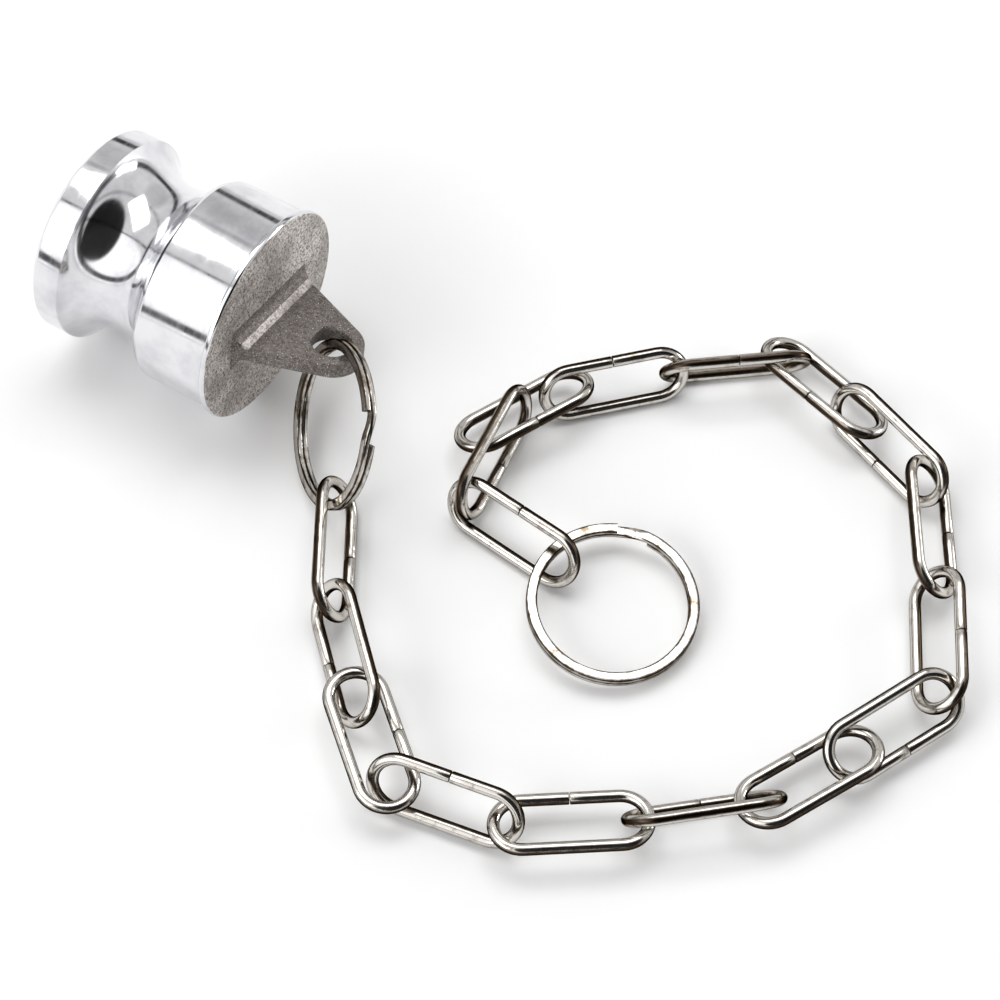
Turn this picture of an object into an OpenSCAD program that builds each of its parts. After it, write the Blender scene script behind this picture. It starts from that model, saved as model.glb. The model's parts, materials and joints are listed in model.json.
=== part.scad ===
// Cam-and-groove dust plug with a cast lug, a split ring, a long-link chain and an end ring.
// Millimetres. X is the plug's axis, nose towards -X and lug towards +X. Z is up.
// The origin is on that axis, halfway along the land of the nose ring.

/* [Plug] */
// Diameter of the nose ring and the collar
pilot_d = 36.6; // [34:0.1:44]
// Length of the nose ring's cylindrical land
nose_land = 4.5; // [3:0.1:6]
// Chamfer on the front of the nose ring
nose_chamfer = 0.9; // [0.3:0.1:1.5]
// Width of the cam groove at its mouth
groove_w = 15.6; // [13:0.1:19]
// Depth of the cam groove
groove_depth = 4.6; // [3:0.1:5.2]
// Chamfer on the front of the collar
collar_chamfer = 0.6; // [0.2:0.1:1.5]
// Length of the collar's cylindrical land
collar_land = 12.8; // [9:0.1:18]
// How far the flange stands proud of the collar
flange_step = 0.75; // [0.4:0.05:2]
// Thickness of the flange
flange_t = 1.1; // [0.8:0.1:3]
// Chamfer on both edges of the flange
flange_chamfer = 0.25; // [0.1:0.05:0.35]
// Diameter of the hollow inside the plug
hollow_d = 19; // [14:0.5:20]
// Flare of the hollow's mouth
hollow_flare = 1.2; // [0.5:0.1:2]
// Thickness of the closed back wall
back_wall = 5; // [3:0.5:8]

/* [Lug] */
// Width of the lug where it meets the plug's back face
lug_base_w = 22; // [18:0.5:26]
// Distance of the lug's hole from the plug's back face
lug_reach = 12.5; // [11:0.5:16]
// Radius of the lug's round end
lug_end_r = 5.6; // [5:0.1:7]
// Thickness of the lug
lug_t = 3.2; // [2.6:0.1:3.6]
// Diameter of the lug's hole
lug_hole_d = 6.4; // [6.2:0.1:7]
// Countersink round the lug's hole
lug_sink = 0.5; // [0.2:0.1:0.8]
// Radius of the fillets at the lug's root
lug_fillet = 2.6; // [1:0.1:3.5]
// How far the plug is turned about its axis, as it lies
plug_turn = -15; // [-20:1:-10]

/* [Rings] */
// Outer diameter of the two split rings
ring_d = 28.6; // [27.5:0.1:30]
// Width of the ring's flat wire, measured across the ring's radius
ring_wire_w = 1.8; // [1.4:0.1:2]
// Thickness of one turn of the ring's wire
ring_wire_t = 1; // [0.8:0.05:1.1]
// Angle over which the wire steps from one turn to the other
ring_step_angle = 24; // [16:1:40]

/* [Chain] */
// Outer length of a link
link_l = 26.5; // [25:0.1:29]
// Outer width of a link
link_w = 11; // [10.4:0.1:12]
// Diameter of a link's wire
link_wire_d = 2; // [1.6:0.1:2.2]
// Gap of the butt joint in the side of a link
link_joint_gap = 0.12; // [0.05:0.01:0.3]

/* [Hidden] */
$fn = 64;
eps = 0.01;
chain_links = 17;

// Plug: stations along X, from the nose to the back face
pilot_r = pilot_d / 2;
flange_r = pilot_r + flange_step;
nose_x = -(nose_chamfer + nose_land / 2);
groove_x0 = nose_land / 2;
groove_x1 = groove_x0 + groove_w;
collar_x = groove_x1 + collar_chamfer;
flange_x = collar_x + collar_land;
back_x = flange_x + flange_t;
// The groove is an arc through its two edges and its deepest point
groove_arc_r = (pow(groove_w / 2, 2) + pow(groove_depth, 2)) / (2 * groove_depth);
groove_arc_c = pilot_r - groove_depth + groove_arc_r;
groove_mid_x = (groove_x0 + groove_x1) / 2;
// Where the arc has come up to the foot of the collar's chamfer
groove_end_x = groove_mid_x + sqrt(pow(groove_arc_r, 2) - pow(groove_arc_c - pilot_r + collar_chamfer, 2));
hollow_r = hollow_d / 2;
hollow_depth = back_x - back_wall;
hollow_corner = 3;
floor_z = -flange_r;

// Chain: half sizes of a link's centre line
wire_r = link_wire_d / 2;
link_end_r = (link_w - link_wire_d) / 2;
link_half = (link_l - link_w) / 2;
link_tip = link_half + link_end_r;
// Each link as it lies: heading, roll about its length, how far its near end is nested inside the
// far end of the link before it, wire centre to wire centre, how far it sits beside, and its lift
LAY = [[-60,  -60,  5.5, 0,   0],   [-44, -130, 5,   0,   0],   [-40,  -5, 8.5,  0,   0],
       [ 10,   55,  7,   0,   0],   [ 34,  -10, 4,   0,   0],   [ 40, -60, 3.5,  0,   0],
       [ 62,  -15,  6.5, 0,   0],   [ 64, -150, 8,   0,   0],   [118, 135, 5,    0,   0],
       [121, -135,  3.5, 0,   0],   [160,  -60, 6.5, 0,   0],   [165,  26, 9,    0,  -0.5],
       [217,   71,  7,   0,   0],   [224,  115, 3.2, 0,   0],   [243,  25, 8,   -0.5, 0],
       [276,  -75, 13.5, 1.2, 1.4], [354,   60, 4.6, 0.2, -0.3]];
steepest_roll = 71;
chain_z = floor_z + link_end_r * sin(steepest_roll) + wire_r;

// Lug ring: heading of its way down from the lug, turn about that line, where its upper end sits
// off the middle of the lug's hole, and the height of its lower end, which sets how far it leans
ring_wire_r = ring_d / 2 - ring_wire_w / 2;
lug_ring_heading = -57;
lug_ring_roll = 62;
lug_ring_seat = [-0.3, 0.8];
lug_ring_low_h = 7.9424;
lug_ring_joint = 35;
step_inset = 0.1;
step_overlap = 0.6;
// End ring: heading away from the last link, pitch, turn, how far it is nested in that link, and
// the height of its near side
end_ring_lay = [-7, 5, 0];
end_ring_nest = 5;
end_ring_lift = 4.6;
end_ring_joint = 60;

function unit(v) = v / norm(v);
function along(h, p = 0) = [cos(h) * cos(p), sin(h) * cos(p), -sin(p)];
function level_side(h) = [-sin(h), cos(h), 0];
function side(h, r) = cos(r) * level_side(h) + [0, 0, sin(r)];
function in_plane(t, n) = unit(t - (t * n) * n);
function link_normal(k) = cross(along(LAY[k][0]), side(LAY[k][0], LAY[k][1]));

// The step from one link's centre to the next one's, level
function between(k) =
    let (ua = along(LAY[k - 1][0]), ub = along(LAY[k][0]), t = unit(ua + ub))
    link_half * ua + link_end_r * in_plane(t, link_normal(k - 1)) - LAY[k][2] * t
    + LAY[k][3] * cross([0, 0, 1], t)
    + link_end_r * in_plane(t, link_normal(k)) + link_half * ub;
function level(p, z) = [p[0], p[1], z];
function link_z(k) = chain_z + LAY[k][4];

// Points of the lug, in its own plane turned with the plug
function lug_point(x, y) = [back_x + x, y * cos(plug_turn), y * sin(plug_turn)];
lug_ring_top = lug_point(lug_reach + lug_ring_seat[0], lug_ring_seat[1]);
lug_ring_lean = asin((lug_ring_top[2] - floor_z - lug_ring_low_h) / (2 * ring_wire_r));
lug_ring_c = lug_ring_top + ring_wire_r * along(lug_ring_heading, lug_ring_lean);
lug_ring_low = lug_ring_c + ring_wire_r * along(lug_ring_heading, lug_ring_lean);
first_link_c = lug_ring_low + (link_tip - LAY[0][2]) * along(LAY[0][0]);
function link_c(k) = level(k == 0 ? first_link_c : link_c(k - 1) + between(k), link_z(k));
last = chain_links - 1;
end_ring_near = link_c(last) + (link_tip - end_ring_nest) * along(LAY[last][0]);
end_ring_c = level(end_ring_near, floor_z + end_ring_lift)
             + ring_wire_r * along(end_ring_lay[0], end_ring_lay[1]);

module turned(outline) {
    rotate([0, 90, 0]) rotate_extrude() polygon(outline);
}

// The whole turned outside, before the groove is cut
module plug_blank() {
    turned([[0, nose_x], [pilot_r - nose_chamfer, nose_x], [pilot_r, nose_x + nose_chamfer],
            [pilot_r, flange_x], [flange_r - flange_chamfer, flange_x],
            [flange_r, flange_x + flange_chamfer], [flange_r, back_x - flange_chamfer],
            [flange_r - flange_chamfer, back_x], [0, back_x]]);
}

module cam_groove() {
    rotate([0, 90, 0]) rotate_extrude()
        translate([groove_arc_c, groove_mid_x]) circle(r = groove_arc_r, $fn = 120);
    // Chamfer where the groove runs out on the collar
    turned([[pilot_r - collar_chamfer, groove_end_x], [groove_arc_c, groove_end_x],
            [groove_arc_c, collar_x], [pilot_r, collar_x]]);
}

module hollow() {
    turned([[0, nose_x - 1], [hollow_r + hollow_flare + 1, nose_x - 1], [hollow_r, nose_x + hollow_flare],
            [hollow_r, hollow_depth - hollow_corner], [hollow_r - hollow_corner, hollow_depth],
            [0, hollow_depth]]);
}

// Flat outline of the lug: its sides run from the root, tangent to its round end
module lug_outline() {
    half = lug_base_w / 2;
    slope = asin(lug_end_r / norm([lug_reach, half])) - atan2(half, lug_reach);
    touch = [lug_reach - lug_end_r * sin(slope), lug_end_r * cos(slope)];
    polygon([[-flange_t, -half], [0, -half], [touch[0], -touch[1]],
             touch, [0, half], [-flange_t, half]]);
    translate([lug_reach, 0]) circle(r = lug_end_r);
}

// Fillet strip along the root, on the face that looks along the local +Z
module root_fillet() {
    difference() {
        translate([-flange_t, -lug_base_w / 2, 0])
            cube([flange_t + lug_fillet, lug_base_w, lug_t / 2 + lug_fillet]);
        translate([lug_fillet, 0, lug_t / 2 + lug_fillet])
            rotate([90, 0, 0]) cylinder(r = lug_fillet, h = lug_base_w + 1, center = true);
    }
}

module lug_hole() {
    cylinder(d = lug_hole_d, h = lug_t + 1, center = true);
    for (face = [0, 1]) mirror([0, 0, face])
        translate([0, 0, lug_t / 2 - lug_sink])
            cylinder(r1 = lug_hole_d / 2, r2 = lug_hole_d / 2 + 2 * lug_sink, h = 2 * lug_sink);
}

module lug() {
    translate([back_x, 0, 0]) rotate([plug_turn, 0, 0]) difference() {
        union() {
            linear_extrude(lug_t, center = true) lug_outline();
            intersection() {
                linear_extrude(lug_t + 2 * lug_fillet, center = true) lug_outline();
                union() {
                    root_fillet();
                    mirror([0, 0, 1]) root_fillet();
                }
            }
        }
        translate([lug_reach, 0, 0]) lug_hole();
    }
}

module plug_body() {
    color("gainsboro") union() {
        difference() {
            plug_blank();
            cam_groove();
            hollow();
        }
        lug();
    }
}

// One turn of a split ring's wire, its middle plane at height z
module ring_turn(z) {
    rotate_extrude(angle = 360 - ring_step_angle)
        translate([ring_wire_r, z]) square([ring_wire_w, ring_wire_t], center = true);
}

// A short block of the step's wire, a little thinner than the turns so that its ends sink into them
module step_block(a, z) {
    rotate([0, 0, a]) translate([ring_wire_r, 0, z])
        cube([ring_wire_w - step_inset, step_overlap, ring_wire_t - step_inset], center = true);
}

// Two turns of flat wire in the local XY plane; the wire steps up between their ends
module split_ring() {
    half_t = ring_wire_t / 2;
    ring_turn(-half_t);
    ring_turn(half_t);
    for (s = [0, 1]) hull() {
        step_block(-ring_step_angle * (1 - s / 2), (s - 1) * half_t);
        step_block(-ring_step_angle * (1 - s) / 2, s * half_t);
    }
}

module lug_ring() {
    color("rosybrown") translate(lug_ring_c)
        rotate([lug_ring_roll, lug_ring_lean, lug_ring_heading])
            rotate([0, 0, lug_ring_joint]) split_ring();
}

module end_ring() {
    color("rosybrown") translate(end_ring_c)
        rotate([end_ring_lay[2], end_ring_lay[1], end_ring_lay[0]])
            rotate([0, 0, end_ring_joint]) split_ring();
}

// One link in its own plane, its length along X: two half turns and two straight sides,
// one of them cut through at its middle by the butt joint
module link() {
    for (end = [0, 1]) mirror([end, 0, 0]) translate([link_half, 0, 0])
        rotate([0, 0, -90]) rotate_extrude(angle = 180) translate([link_end_r, 0]) circle(r = wire_r);
    translate([-link_half, -link_end_r, 0]) rotate([0, 90, 0]) cylinder(r = wire_r, h = 2 * link_half);
    for (end = [0, 1]) mirror([end, 0, 0]) translate([link_joint_gap / 2, link_end_r, 0])
        rotate([0, 90, 0]) cylinder(r = wire_r, h = link_half - link_joint_gap / 2);
}

module chain_link(k) {
    color("tan") translate(link_c(k)) rotate([LAY[k][1], 0, LAY[k][0]]) link();
}

plug_body();
lug_ring();
for (k = [0 : chain_links - 1])
    chain_link(k);
end_ring();
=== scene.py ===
import json
import math

import bpy
import numpy as np
from mathutils import Matrix, Vector


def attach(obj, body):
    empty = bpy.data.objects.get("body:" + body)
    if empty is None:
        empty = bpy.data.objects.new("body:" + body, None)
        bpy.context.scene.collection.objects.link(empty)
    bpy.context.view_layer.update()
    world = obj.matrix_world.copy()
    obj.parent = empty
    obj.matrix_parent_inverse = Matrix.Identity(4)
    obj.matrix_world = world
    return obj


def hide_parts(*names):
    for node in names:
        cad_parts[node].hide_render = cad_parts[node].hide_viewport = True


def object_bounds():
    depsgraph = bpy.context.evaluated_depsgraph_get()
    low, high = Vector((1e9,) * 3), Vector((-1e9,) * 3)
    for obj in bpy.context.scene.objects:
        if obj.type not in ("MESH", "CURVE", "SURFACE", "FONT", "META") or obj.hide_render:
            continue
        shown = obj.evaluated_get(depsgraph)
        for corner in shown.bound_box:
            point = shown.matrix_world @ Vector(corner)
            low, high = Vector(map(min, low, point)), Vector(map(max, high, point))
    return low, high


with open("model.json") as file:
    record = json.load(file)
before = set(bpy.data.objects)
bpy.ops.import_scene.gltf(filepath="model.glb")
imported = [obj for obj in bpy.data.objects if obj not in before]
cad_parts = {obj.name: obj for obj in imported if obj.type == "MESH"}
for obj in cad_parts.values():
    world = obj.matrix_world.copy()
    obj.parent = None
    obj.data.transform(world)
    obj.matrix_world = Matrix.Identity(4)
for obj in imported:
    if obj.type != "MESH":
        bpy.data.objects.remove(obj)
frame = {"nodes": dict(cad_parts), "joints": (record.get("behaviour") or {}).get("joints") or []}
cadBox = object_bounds()
mm = 0.001


def sayDone(text):
    print("scene:", text)


def startPiece(name, body, node, slot):
    piece = bpy.context.object
    piece.name = piece.data.name = name
    piece["pieceBody"], piece["pieceNode"], piece["pieceSlot"] = body, node, slot
    return piece


def handOver(piece):
    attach(piece, piece["pieceBody"])
    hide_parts(piece["pieceNode"])


def deselectAll():
    if bpy.context.object and bpy.context.object.mode == "EDIT":
        bpy.ops.object.mode_set(mode="OBJECT")
    bpy.ops.object.select_all(action="DESELECT")


def editAll():
    bpy.ops.object.mode_set(mode="EDIT")
    bpy.ops.mesh.select_all(action="SELECT")


def closeUp():
    # fills every open loop, then turns the faces outwards
    bpy.ops.mesh.select_all(action="DESELECT")
    bpy.ops.mesh.select_mode(type="EDGE")
    bpy.ops.mesh.select_non_manifold(extend=False)
    bpy.ops.mesh.edge_face_add()
    bpy.ops.mesh.select_all(action="SELECT")
    bpy.ops.mesh.normals_make_consistent(inside=False)


def applyModifiers(piece):
    bpy.context.view_layer.objects.active = piece
    for modifier in list(piece.modifiers):
        bpy.ops.object.modifier_apply(modifier=modifier.name)


def pointsOf(mesh):
    points = np.empty(len(mesh.vertices) * 3)
    mesh.vertices.foreach_get("co", points)
    return points.reshape(-1, 3)


def setPoints(mesh, points):
    mesh.vertices.foreach_set("co", np.asarray(points, float).ravel())
    mesh.update()


def alongWire(piece, middles):
    # middles gives each point's place along the wire and its offsets from the wire's middle
    attribute = piece.data.attributes.new("alongWire", "FLOAT_VECTOR", "POINT")
    attribute.data.foreach_set("vector", middles(pointsOf(piece.data)).astype(np.float32).ravel())


def rounded(corners, steps=4):
    # corners are (x, r, radius of the rounding); gives the outline's points
    points = []
    for number, (x, r, bend) in enumerate(corners):
        here = Vector((x, r))
        if bend == 0:
            points.append(here)
            continue
        before = Vector(corners[number - 1][:2]) - here
        after = Vector(corners[number + 1][:2]) - here
        before.normalize()
        after.normalize()
        half = before.angle(after) / 2
        middle = here + (before + after).normalized() * bend / math.sin(half)
        reach = bend / math.tan(half)
        first = (here + before * reach - middle).normalized()
        last = (here + after * reach - middle).normalized()
        for step in range(steps + 1):
            points.append(middle + first.slerp(last, step / steps).normalized() * bend)
    return points


def lieOf(node):
    # middle and three directions of a part, from the areas of its faces, shortest direction first
    mesh = frame["nodes"][node].data
    areas = np.empty(len(mesh.polygons))
    mesh.polygons.foreach_get("area", areas)
    centres = np.array([face.center for face in mesh.polygons])
    weight = areas @ centres / areas.sum()
    spread = (centres - weight).T @ ((centres - weight) * areas[:, None])
    directions = np.linalg.eigh(spread)[1].T
    reach = pointsOf(mesh) @ directions.T
    middle = (reach.min(0) + reach.max(0)) / 2 @ directions
    return Vector(middle), [Vector(direction) for direction in directions], Vector(weight)


def placement(middle, along, side):
    normal = along.cross(side)
    turn = Matrix((along, side, normal)).transposed().to_4x4()
    return Matrix.Translation(middle) @ turn


def hingeOf(name):
    return Vector(next(joint for joint in frame["joints"] if joint["name"] == name)["pos_m"])


class Reading:
    # wraps a socket, so that shader maths is written as ordinary sums
    def __init__(self, recipe, socket):
        self.recipe, self.socket = recipe, socket

    def sum(self, operation, first, second):
        return self.recipe.add("ShaderNodeMath", {"operation": operation}, {0: first, 1: second})

    def __add__(self, other): return self.sum("ADD", self, other)
    def __sub__(self, other): return self.sum("SUBTRACT", self, other)
    def __mul__(self, other): return self.sum("MULTIPLY", self, other)
    def __pow__(self, other): return self.sum("POWER", self, other)


class Recipe:
    def __init__(self, name, kind="materials", shader="Principled BSDF"):
        self.made = getattr(bpy.data, kind).new(name)
        self.made.use_nodes = True
        self.nodes = self.made.node_tree.nodes
        self.links = self.made.node_tree.links
        self.shader = self.nodes[shader]

    def add(self, kind, settings=None, values=None, output=0):
        node = self.nodes.new(kind)
        for key, value in (settings or {}).items():
            if key == "stops":
                ramp = node.color_ramp.elements
                while len(ramp) < len(value):
                    ramp.new(1)
                for stop, (place, colour) in zip(ramp, value):
                    stop.position, stop.color = place, colour
            else:
                setattr(node, key, value)
        for key, value in (values or {}).items():
            self.feed(node.inputs[key], value)
        return Reading(self, node.outputs[output])

    def feed(self, socket, value):
        if isinstance(value, Reading):
            self.links.new(value.socket, socket)
        else:
            socket.default_value = value

    def finish(self, **values):
        for key, value in values.items():
            self.feed(self.shader.inputs[key.replace("_", " ")], value)
        return self.made

    # the few node mixes that every metal here shares
    def place(self):
        return self.add("ShaderNodeTexCoord", output=3)

    def grain(self, where, scale, detail=3.0, roughness=0.6):
        return self.add("ShaderNodeTexNoise", None,
                        {"Vector": where, "Scale": scale, "Detail": detail, "Roughness": roughness})

    def blend(self, factor, first, second):
        return self.add("ShaderNodeMix", {"data_type": "RGBA"}, {0: factor, 6: first, 7: second}, 2)

    def spread(self, value, low, high, lowOut=0.0, highOut=1.0):
        return self.add("ShaderNodeMapRange", {"interpolation_type": "SMOOTHSTEP"},
                        {0: value, 1: low, 2: high, 3: lowOut, 4: highOut})

    def away(self, vector, axis):
        part = self.add("ShaderNodeSeparateXYZ", None, {0: vector}, axis)
        return self.add("ShaderNodeMath", {"operation": "ABSOLUTE"}, {0: part})

    def bump(self, height, strength, distance):
        return self.add("ShaderNodeBump", None,
                        {"Strength": strength, "Distance": distance, "Height": height})


turnedLook = {
    "colour": (0.80, 0.80, 0.82, 1),
    "shade": (0.62, 0.62, 0.65, 1),
    "rough": (0.07, 0.17),
    "marks": 4200,        # turning marks per metre, roughly
    "markDepth": 0.000006,
}


def turnedAluminium():
    made = Recipe("turnedAluminium")
    where = made.place()
    x = made.add("ShaderNodeSeparateXYZ", None, {0: where})
    y = made.add("ShaderNodeSeparateXYZ", None, {0: where}, 1)
    z = made.add("ShaderNodeSeparateXYZ", None, {0: where}, 2)
    radius = (y * y + z * z) ** 0.5
    rings = made.add("ShaderNodeCombineXYZ", None, {0: x, 1: radius})
    marks = made.grain(rings, turnedLook["marks"], 2.0)
    broad = made.grain(rings, turnedLook["marks"] / 9, 2.0)
    handled = made.grain(where, 160, 4.0)
    colour = made.blend(made.spread(handled, 0.35, 0.75), turnedLook["colour"], turnedLook["shade"])
    low, high = turnedLook["rough"]
    rough = made.spread(marks * 0.5 + broad * 0.5, 0.3, 0.7, low, high)
    height = marks + broad * 0.8
    return made.finish(Base_Color=colour, Metallic=1.0, Roughness=rough,
                       Normal=made.bump(height, 0.5, turnedLook["markDepth"]))


castLook = {
    "light": (0.86, 0.81, 0.77, 1),
    "dark": (0.105, 0.088, 0.078, 1),
    # painted highlight: a lighter dark tone for the fillet strip
    "paintedRootHighlight": (0.34, 0.30, 0.29, 1),
    "stain": (0.17, 0.145, 0.13, 1),
    "glint": (0.95, 0.92, 0.90, 1),
    "grain": 4300,
    "depth": 0.00009,
}


def castAluminium(name, paintedShadeBias, dark):
    made = Recipe(name)
    where = made.place()
    fine = made.grain(where, castLook["grain"], 2.0, 0.8)
    coarse = made.grain(where, castLook["grain"] * 0.36, 3.0, 0.7)
    broad = made.grain(where, 150, 3.0)
    colour = made.blend(made.spread(fine * 0.5 + coarse * 0.5, 0.41, 0.55), dark, castLook["light"])
    colour = made.blend(made.spread(broad, 0.40, 0.66, 0.0, 0.5), colour, castLook["stain"])
    # painted shade: the whole colour is pulled toward the dark tone by the second argument
    colour = made.blend(paintedShadeBias, colour, dark)
    sparkle = made.grain(where, castLook["grain"] * 1.3, 1.0, 0.5)
    bright = made.spread(sparkle, 0.66, 0.72, 0.0, 0.9)
    colour = made.blend(bright, colour, castLook["glint"])
    rough = made.spread(fine, 0.35, 0.65, 0.62, 0.40)
    height = fine + coarse * 1.3 + broad * 0.5
    return made.finish(Base_Color=colour, Metallic=0.75, Roughness=rough,
                       Normal=made.bump(height, 0.8, castLook["depth"]))


ring = {              # two turns of flat wire with one step, spun as a single wire
    "outerD": 28.6,
    "wireW": 1.8,
    "wireT": 0.97,
    "pitch": 1.0,
    "corner": 0.28,
    "step": 24,
    "turnSteps": 84,
    "jogSteps": 12,
}

wireLook = {
    "colour": (0.66, 0.63, 0.585, 1),
    "stain": (0.20, 0.15, 0.10, 1),
    "side": (0.045, 0.032, 0.022, 1),      # painted shade: dark colour on the wire's flanks, standing in for dark reflections
    "edge": (0.12, 0.10, 0.08, 1),
    "rough": (0.09, 0.20),
    "drawn": 3200,
}


def linkPaintedEdgeShade(made, wire, paintedShadeBias):
    # painted shade: dark colour where the link's wire faces sideways
    return made.spread(made.away(wire, 2) + paintedShadeBias, 0.72 * mm, 0.30 * mm)


def ringPaintedEdgeShade(made, wire, paintedShadeBias):
    # painted shade: dark colour along the corners of both turns
    corner = made.spread(made.away(wire, 1) + paintedShadeBias, 0.45 * mm, 0.75 * mm)
    offMiddle = made.away(wire, 2) - ring["pitch"] / 2 * mm
    middle = made.add("ShaderNodeMath", {"operation": "ABSOLUTE"}, {0: offMiddle})
    return corner * made.spread(middle + paintedShadeBias, 0.16 * mm, 0.38 * mm)


def steelWire(name, stained, edgeShadeOf):
    made = Recipe(name)
    wire = made.add("ShaderNodeAttribute", {"attribute_name": "alongWire"}, output=1)
    streaks = made.grain(made.add("ShaderNodeVectorMath", {"operation": "MULTIPLY"},
                                  {0: wire, 1: (0.03, 1, 1)}), wireLook["drawn"], 3.0)
    where = made.place()
    spots = made.grain(where, 420, 5.0, 0.65)
    stains = made.spread(spots, 0.52 - stained, 0.8 - stained)
    colour = made.blend(stains, wireLook["colour"], wireLook["stain"])
    paintedEdgeShade = edgeShadeOf(made, wire, (spots - 0.5) * 0.0005 + (streaks - 0.5) * 0.0004)
    # painted shade: the flanks and corners take the dark colour in place of dark reflections
    colour = made.blend(paintedEdgeShade, colour, wireLook["side"])
    low, high = wireLook["rough"]
    rough = made.spread(streaks * 0.6 + spots * 0.4, 0.3, 0.7, low, high)
    return made.finish(Base_Color=colour, Metallic=1.0, Roughness=rough + paintedEdgeShade * 0.12,
                       Specular_Tint=wireLook["edge"], Normal=made.bump(streaks, 0.35, 0.00001))


turned = turnedAluminium()
# the second number is painted shade: a trace on the back face, much on the lug's copy, none on the root's
cast = castAluminium("castAluminium", 0.05, castLook["dark"])
castLugShaded = castAluminium("castLugShadedAluminium", 0.82, castLook["dark"])
castRootHighlight = castAluminium("castRootHighlightAluminium", 0.0, castLook["paintedRootHighlight"])
castRootHighlight.node_tree.nodes["Principled BSDF"].inputs["Coat Weight"].default_value = 0.4
chainSteel = steelWire("chainSteel", 0.02, linkPaintedEdgeShade)
ringSteel = steelWire("ringSteel", 0.06, ringPaintedEdgeShade)
sayDone("materials")


plug = {              # one lathe-turned shell, outside and inside
    "pilotR": 18.3,
    "noseX": -3.15,
    "noseChamfer": 0.9,
    "grooveFrom": 2.25,
    "grooveTo": 17.85,
    "grooveDepth": 4.6,
    "collarChamfer": 0.6,
    "collarX": 18.45,
    "flangeX": 31.25,
    "backX": 32.35,
    "flangeR": 19.05,
    "hollowR": 9.5,
    "hollowFlare": 1.2,
    "hollowEnd": 27.35,
    "hollowCorner": 3.0,
    "axisR": 0.4,         # both end faces stop this far from the axis before they close
    "faceRs": (12, 5),    # extra circles of points on the back face
    "flangeLip": 0.25,
    "backEdge": 0.3,
    "sides": 192,
}


def grooveOutline(steps=30):
    # the cam groove's arc, from the nose ring to the collar's chamfer
    half = (plug["grooveTo"] - plug["grooveFrom"]) / 2
    arcR = (half ** 2 + plug["grooveDepth"] ** 2) / (2 * plug["grooveDepth"])
    arcX = plug["grooveFrom"] + half
    arcC = plug["pilotR"] - plug["grooveDepth"] + arcR
    endR = plug["pilotR"] - plug["collarChamfer"]
    start = -math.asin(half / arcR)
    end = math.acos((arcC - endR) / arcR)
    points = []
    for step in range(1, steps + 1):
        a = start + (end - start) * step / steps
        points.append(Vector((arcX + arcR * math.sin(a), arcC - arcR * math.cos(a))))
    return points


def makePlug():
    p = plug
    inside = rounded([
        (p["hollowEnd"], p["axisR"], 0), (p["hollowEnd"], p["hollowR"] - p["hollowCorner"], 0.8),
        (p["hollowEnd"] - p["hollowCorner"], p["hollowR"], 1.2),
        (p["noseX"] + p["hollowFlare"], p["hollowR"], 0.2),
        (p["noseX"], p["hollowR"] + p["hollowFlare"], 0.15),
        (p["noseX"], p["pilotR"] - p["noseChamfer"], 0.12),
        (p["noseX"] + p["noseChamfer"], p["pilotR"], 0.15),
        (p["grooveFrom"], p["pilotR"], 0)])
    outside = rounded([
        (p["collarX"] - 0.9, p["pilotR"] - p["collarChamfer"], 0),
        (p["collarX"], p["pilotR"], 0.12), (p["flangeX"], p["pilotR"], 0.12),
        (p["flangeX"], p["flangeR"] - p["flangeLip"], 0.05),
        (p["flangeX"] + p["flangeLip"], p["flangeR"], 0.12),
        (p["backX"] - p["backEdge"], p["flangeR"], 0.2),
        (p["backX"], p["flangeR"] - p["backEdge"], 0.2),
        *[(p["backX"], r, 0) for r in (*p["faceRs"], p["axisR"])]])
    outline = inside + grooveOutline() + outside[1:]
    deselectAll()
    bpy.ops.mesh.primitive_circle_add(vertices=p["sides"], radius=outline[0].y * mm,
                                      location=(outline[0].x * mm, 0, 0), rotation=(0, math.pi / 2, 0))
    piece = startPiece("plugBody", "plug", "plug_body", "plug_aluminium")
    bpy.ops.object.transform_apply(location=True, rotation=True, scale=True)
    editAll()
    for last, here in zip(outline, outline[1:]):
        bpy.ops.mesh.extrude_region_move(TRANSFORM_OT_translate={"value": ((here.x - last.x) * mm, 0, 0)})
        bpy.ops.transform.resize(value=(1, here.y / last.y, here.y / last.y),
                                 center_override=(here.x * mm, 0, 0))
    closeUp()
    bpy.ops.object.mode_set(mode="OBJECT")
    bpy.ops.object.shade_smooth_by_angle(angle=math.radians(28))
    piece.data.materials.append(turned)
    piece.data.materials.append(cast)
    castFrom = (p["backX"] - 0.12) * mm
    boreR = (p["hollowR"] + 0.05) * mm
    for face in piece.data.polygons:
        x, y, z = face.center
        if x > castFrom or (x > 0 and math.hypot(y, z) < boreR):
            face.material_index = 1
    return piece


lug = {               # a flat cast tongue with rounded edges, flared into the back face
    "baseW": 22.0,
    "reach": 12.5,
    "endR": 5.6,
    "thick": 3.2,
    "holeR": 3.2,
    "sink": 0.5,
    "fillet": 2.6,
    "edge": 0.55,
    "turn": -15.0,
    "inside": 1.6,
    "rootFrom": 1.2,      # the glossier strip of the fillet, with a painted highlight in its colour
    "rootTo": 2.5,
    "arc": 8,
}


def lugHalfWidth(x):
    half, reach, endR = lug["baseW"] / 2, lug["reach"], lug["endR"]
    slope = math.asin(endR / math.hypot(reach, half)) - math.atan2(half, reach)
    touchX = reach - endR * math.sin(slope)
    if x < touchX:
        return half + max(x, 0) * math.tan(slope)
    return math.sqrt(max(endR ** 2 - (x - reach) ** 2, 0))


def lugHalfThick(x):
    flare = lug["fillet"]
    rise = flare - math.sqrt(flare ** 2 - (flare - min(max(x, 0), flare)) ** 2)
    return lug["thick"] / 2 + rise


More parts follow.
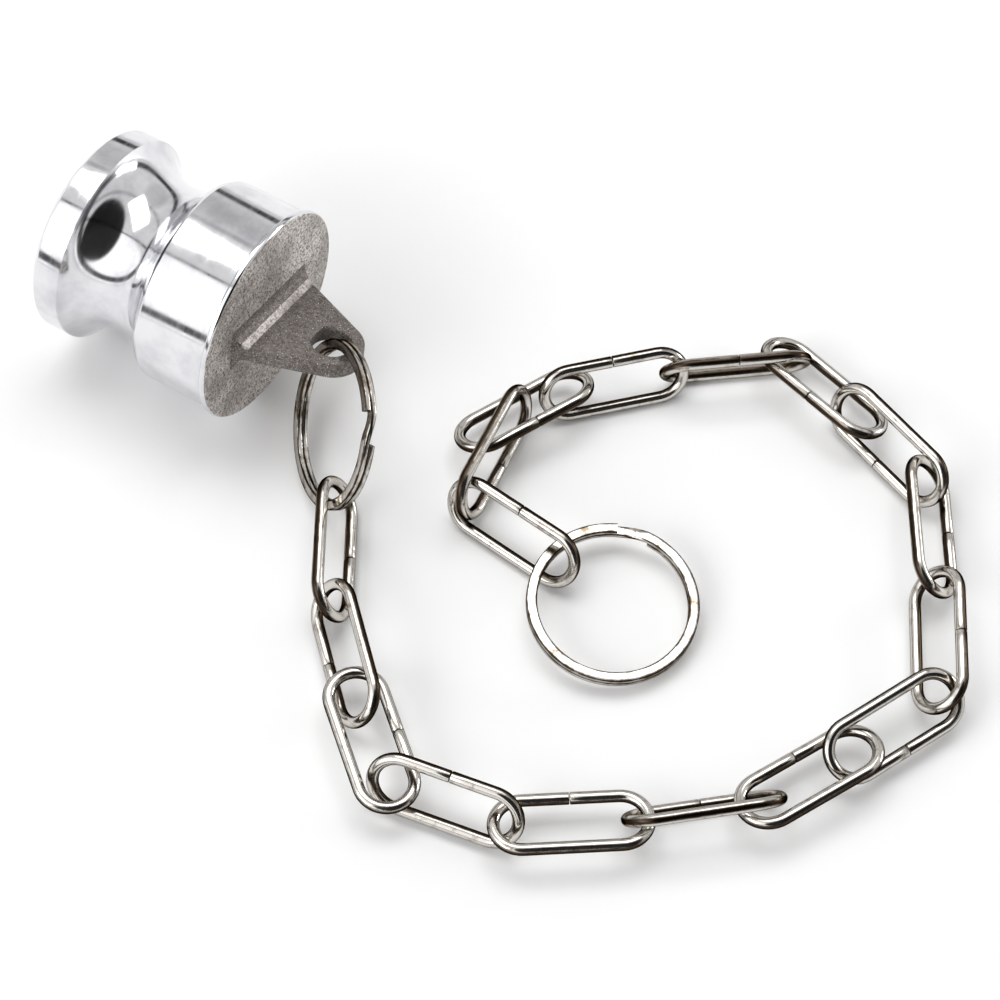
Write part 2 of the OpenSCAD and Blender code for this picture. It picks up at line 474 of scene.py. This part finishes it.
def lugSection(x):
    # a rounded rectangle across the lug at x
    wide, thick = max(lugHalfWidth(x), 0.12), lugHalfThick(x)
    edge = min(lug["edge"], wide * 0.9, thick * 0.9)
    points = []
    for corner, (sy, sz) in enumerate([(1, 1), (-1, 1), (-1, -1), (1, -1)]):
        for step in range(lug["arc"] + 1):
            a = math.pi / 2 * (corner + step / lug["arc"])
            points.append((x, sy * (wide - edge) + edge * math.cos(a),
                           sz * (thick - edge) + edge * math.sin(a)))
    return points


def makeLug():
    reach, endR = lug["reach"], lug["endR"]
    stations = [-lug["inside"], 0]
    stations += [lug["fillet"] * step / 10 for step in range(1, 11)]
    stations += [lug["fillet"] + (reach - lug["fillet"]) * step / 14 for step in range(1, 15)]
    stations += [reach + endR * math.sin(math.pi / 2 * step / 22) for step in range(1, 22)]
    stations += [reach + endR * 0.9992]
    first = lugSection(stations[0])
    deselectAll()
    bpy.ops.mesh.primitive_circle_add(vertices=len(first), radius=mm)
    piece = startPiece("castLug", "plug", "plug_body", "plug_aluminium")
    editAll()
    for x in stations[1:]:
        bpy.ops.mesh.extrude_region_move(TRANSFORM_OT_translate={"value": (mm, 0, 0)})
    bpy.ops.object.mode_set(mode="OBJECT")
    points = [point for x in stations for point in lugSection(x)]
    setPoints(piece.data, np.array(points) * mm)
    editAll()
    closeUp()
    bpy.ops.object.mode_set(mode="OBJECT")

    # the hole, with its countersink, cut by a turned plug of its own shape
    holeR, half, sink = lug["holeR"], lug["thick"] / 2, lug["sink"]
    outline = [(-half - 1, holeR + sink + 1), (-half - 0.02, holeR + sink + 0.02),
               (-half + sink * 0.4, holeR + sink * 0.42), (-half + sink, holeR + 0.06),
               (-half + sink * 1.6, holeR)]
    outline += [(-x, r) for x, r in reversed(outline)]
    bpy.ops.object.select_all(action="DESELECT")
    bpy.ops.mesh.primitive_circle_add(vertices=96, radius=outline[0][1] * mm,
                                      location=(reach * mm, 0, outline[0][0] * mm))
    cutter = bpy.context.object
    bpy.ops.object.transform_apply(location=True, rotation=True, scale=True)
    editAll()
    for last, here in zip(outline, outline[1:]):
        bpy.ops.mesh.extrude_region_move(TRANSFORM_OT_translate={"value": (0, 0, (here[0] - last[0]) * mm)})
        bpy.ops.transform.resize(value=(here[1] / last[1], here[1] / last[1], 1),
                                 center_override=(reach * mm, 0, here[0] * mm))
    closeUp()
    bpy.ops.object.mode_set(mode="OBJECT")
    cut = piece.modifiers.new("hole", "BOOLEAN")
    cut.object, cut.operation, cut.solver = cutter, "DIFFERENCE", "EXACT"
    applyModifiers(piece)
    bpy.data.objects.remove(cutter)

    bpy.ops.object.select_all(action="DESELECT")
    piece.select_set(True)
    bpy.ops.object.shade_smooth_by_angle(angle=math.radians(35))
    # the lug takes the copy darkened with painted shade
    piece.data.materials.append(castLugShaded)
    piece.data.materials.append(castRootHighlight)
    # faces on the fillet strip take the copy with the painted highlight and a clear coat
    for face in piece.data.polygons:
        onRoot = lug["rootFrom"] * mm < face.center.x < lug["rootTo"] * mm
        if onRoot and abs(face.normal.z) > 0.35:
            face.material_index = 1
    turn = Matrix.Rotation(math.radians(lug["turn"]), 4, "X")
    piece.data.transform(Matrix.Translation((plug["backX"] * mm, 0, 0)) @ turn)
    return piece


for piece in (makePlug(), makeLug()):
    handOver(piece)
sayDone("plug and lug")


def ringWire(points):
    middleR = (ring["outerD"] - ring["wireW"]) / 2 * mm
    radius = np.hypot(points[:, 0], points[:, 1])
    angle = np.arctan2(points[:, 1], points[:, 0])
    return np.stack([angle * middleR, radius - middleR, points[:, 2]], 1)


def spinWire(degrees, steps):
    bpy.ops.mesh.spin(steps=steps, angle=math.radians(degrees), center=(0, 0, 0), axis=(0, 0, 1))


def makeRing(name, node, joint, jointTurn):
    middleR = (ring["outerD"] - ring["wireW"]) / 2
    deselectAll()
    bpy.ops.mesh.primitive_plane_add(size=mm, location=(middleR * mm, 0, -ring["pitch"] / 2 * mm),
                                     rotation=(math.pi / 2, 0, 0))
    piece = startPiece(name, node, node, "ring_steel")
    piece.scale = (ring["wireW"], ring["wireT"], 1)
    bpy.ops.object.transform_apply(location=True, rotation=True, scale=True)
    editAll()
    bpy.ops.mesh.bevel(offset=ring["corner"] * mm, segments=3, affect="VERTICES")
    bpy.ops.mesh.select_all(action="SELECT")
    bpy.ops.mesh.delete(type="ONLY_FACE")
    bpy.ops.mesh.select_all(action="SELECT")
    turn = 360 - ring["step"]
    spinWire(turn, ring["turnSteps"])
    jog = ring["jogSteps"]
    for step in range(jog):
        rise = (math.cos(math.pi * step / jog) - math.cos(math.pi * (step + 1) / jog)) / 2
        spinWire(ring["step"] / jog, 1)
        bpy.ops.transform.translate(value=(0, 0, rise * ring["pitch"] * mm))
    spinWire(turn, ring["turnSteps"])
    closeUp()
    bpy.ops.mesh.select_all(action="DESELECT")
    bpy.ops.object.mode_set(mode="OBJECT")
    bpy.ops.object.shade_smooth_by_angle(angle=math.radians(30))
    alongWire(piece, ringWire)
    middle, directions = lieOf(node)[:2]
    outward = hingeOf(joint) - middle
    normal = directions[0] if directions[0].z > 0 else -directions[0]
    outward = (outward - normal * outward.dot(normal)).normalized()
    turn = Matrix.Rotation(math.radians(jointTurn), 4, "Z")
    piece.data.transform(placement(middle, outward, normal.cross(outward)) @ turn)
    piece.data.materials.append(ringSteel)
    return piece


rings = [makeRing("lugRing", "lug_ring", "lug_ring_swing", 250),
         makeRing("endRing", "end_ring", "end_ring_swing", 280)]
for piece in rings:
    handOver(piece)
sayDone("rings")


link = {              # one is modelled, and every other is a copy of it with its own mesh
    "length": 26.5,
    "width": 11.0,
    "wire": 2.0,
    "gap": 0.12,
    "wornEdge": 0.14,
    "wireSides": 28,
    "bendSteps": 22,
    "count": 17,
}


def linkWire(points):
    half = (link["length"] - link["width"]) / 2 * mm
    endR = (link["width"] - link["wire"]) / 2 * mm
    x, y, z = points.T
    over = x - np.clip(x, -half, half)
    radius = np.hypot(over, y)
    side = np.where(y > 0, x, -x + 2 * half + math.pi * endR)
    bend = endR * (math.pi / 2 - np.arctan2(y, np.abs(over)))
    along = np.where(np.abs(over) < 1e-9, side, np.where(over > 0, half + bend, -half - bend))
    return np.stack([along, radius - endR, z], 1)


def makeLink():
    half, endR = (link["length"] - link["width"]) / 2, (link["width"] - link["wire"]) / 2
    deselectAll()
    bpy.ops.mesh.primitive_circle_add(vertices=link["wireSides"], radius=link["wire"] / 2 * mm,
                                      location=(link["gap"] / 2 * mm, endR * mm, 0),
                                      rotation=(0, math.pi / 2, 0))
    piece = startPiece("linkMaster", "", "", "chain_steel")
    bpy.ops.object.transform_apply(location=True, rotation=True, scale=True)
    editAll()

    def straight(length, pieces):
        for _ in range(pieces):
            bpy.ops.mesh.extrude_region_move(TRANSFORM_OT_translate={"value": (length / pieces * mm, 0, 0)})

    def bend(x):
        bpy.ops.mesh.spin(steps=link["bendSteps"], angle=math.pi, center=(x * mm, 0, 0), axis=(0, 0, 1))

    straight(half - link["gap"] / 2, 3)
    bend(half)
    straight(-2 * half, 6)
    bend(-half)
    straight(half - link["gap"] / 2, 3)
    closeUp()
    bpy.ops.mesh.select_all(action="DESELECT")
    bpy.ops.object.mode_set(mode="OBJECT")
    # the two sheared ends at the butt joint get a worn edge
    seam = piece.data
    bpy.context.tool_settings.mesh_select_mode = (False, False, True)
    for face in seam.polygons:
        face.select = len(face.vertices) > 4
    bpy.ops.object.mode_set(mode="EDIT")
    bpy.ops.mesh.bevel(offset=link["wornEdge"] * mm, segments=2, affect="EDGES")
    bpy.ops.object.mode_set(mode="OBJECT")
    bpy.ops.object.shade_smooth_by_angle(angle=math.radians(40))
    alongWire(piece, linkWire)
    piece.data.materials.append(chainSteel)
    return piece


master = makeLink()
for number in range(1, link["count"] + 1):
    node = "link_%02d" % number
    piece = master.copy()
    piece.data = master.data.copy()
    bpy.context.scene.collection.objects.link(piece)
    piece.name = piece.data.name = "chainLink%02d" % number
    piece["pieceBody"], piece["pieceNode"] = node, node
    middle, directions, weight = lieOf(node)
    side, along = directions[1:]
    if (weight - middle).dot(side) < 0:
        side = -side
    piece.data.transform(placement(middle, along, side))
    handOver(piece)
bpy.data.objects.remove(master)
sayDone("chain")


stage = {
    "floorZ": cadBox[0].z,
    "floorSize": 6.0,
    "floorColour": (0.92, 0.92, 0.92, 1),
    "exposure": 0.0,
    "open": 0.78,         # grey of the room around
    "near": 1.35,         # white screen on the near side
    "horizon": 0.06,
    "dark": 0.02,
    "horizonAt": (0.11, 0.05),        # height and half width, of a room of radius 1
    "beam": 0.15,
    "beamHalf": 0.016,
    "beamSlope": (0.956, 0.292),
    "rail": 0.6,
    "railHalf": 0.03,
    "railSlope": (0.83, 0.56),
    "darkAim": (0.60, -0.36, 0.72),
    "darkSpot": (0.77, 0.82),         # where its edge starts and ends, 1 being its middle
    "farAim": (-0.25, 0.80, 0.54),
    "farSpot": (0.90, 0.97),
    "far": 0.75,
    "aim": (0.07, 0, 0),
}
# place, width, height and power of each soft light
softLights = {
    "topLight": ((-0.15, 0.30, 0.9), 0.9, 0.5, 4.5),
    "nearLight": ((-0.35, -0.75, 0.55), 0.7, 0.4, 2.5),
    "backLight": ((0.65, 0.60, 0.14), 0.3, 0.12, 1.6),
}


def makeFloor():
    deselectAll()
    bpy.ops.mesh.primitive_plane_add(size=stage["floorSize"], location=(0.08, 0, stage["floorZ"] - 0.0001))
    floor = bpy.context.object
    floor.name = "floor"
    made = Recipe("paleFloor")
    floor.data.materials.append(made.finish(Base_Color=stage["floorColour"], Roughness=0.8))


def softBox(name, place, width, height, power):
    bpy.ops.object.light_add(type="AREA", location=place)
    lamp = bpy.context.object
    lamp.name = name
    lamp.data.shape = "RECTANGLE"
    lamp.data.size, lamp.data.size_y = width, height
    lamp.data.energy = power
    lamp.rotation_euler = (Vector(stage["aim"]) - Vector(place)).to_track_quat("-Z", "Y").to_euler()


def makeRoom():
    # a grey room: white screen on the near side, dark line at the horizon, one beam and one
    # rail across it, a dark corner and a greyer one
    made = Recipe("studio", "worlds", "Background")
    where = made.add("ShaderNodeTexCoord", output=0)
    y = made.add("ShaderNodeSeparateXYZ", None, {0: where}, 1)
    z = made.add("ShaderNodeSeparateXYZ", None, {0: where}, 2)
    value = made.spread(y, -0.20, -0.34, stage["open"], stage["near"])

    def band(middle, half, level):
        off = made.add("ShaderNodeMath", {"operation": "ABSOLUTE"}, {0: middle})
        return made.spread(off, half, half * 1.7, level, 1.0)

    def spot(name):
        outer, inner = stage[name + "Spot"]
        toward = made.add("ShaderNodeVectorMath", {"operation": "DOT_PRODUCT"},
                          {0: where, 1: stage[name + "Aim"]}, 1)
        return made.spread(toward, outer, inner, 1.0, stage[name])

    height, half = stage["horizonAt"]
    value = value * band(z - height, half, stage["horizon"])
    along, up = stage["beamSlope"]
    value = value * band(y * along + z * up, stage["beamHalf"], stage["beam"])
    along, up = stage["railSlope"]
    value = value * band(y * along - z * up, stage["railHalf"], stage["rail"])
    value = value * spot("far") * spot("dark")
    grey = made.add("ShaderNodeCombineColor", None, {0: value, 1: value, 2: value})
    bpy.context.scene.world = made.finish(Color=grey)


def makeLight():
    makeRoom()
    bpy.context.scene.view_settings.view_transform = "Standard"
    bpy.context.scene.view_settings.exposure = stage["exposure"]
    for name, (place, width, height, power) in softLights.items():
        softBox(name, place, width, height, power)


view = {
    "azimuth": 31.0,
    "elevation": 60.4,
    "distance": 0.450,
    "target": (0.07835, -0.0011, -0.01905),
    "lens": 95.76,
    "sensor": 36.0,
}


def makeCamera():
    a, e = math.radians(view["azimuth"]), math.radians(view["elevation"])
    back = Vector((math.sin(a) * math.cos(e), -math.cos(a) * math.cos(e), math.sin(e)))
    bpy.ops.object.camera_add(location=Vector(view["target"]) + back * view["distance"])
    camera = bpy.context.object
    camera.name = "mainView"
    camera.rotation_euler = (-back).to_track_quat("-Z", "Y").to_euler()
    camera.data.lens, camera.data.sensor_width = view["lens"], view["sensor"]
    camera.data.clip_start = 0.01
    bpy.context.scene.camera = camera


makeFloor()
makeLight()
makeCamera()
sayDone("stage")
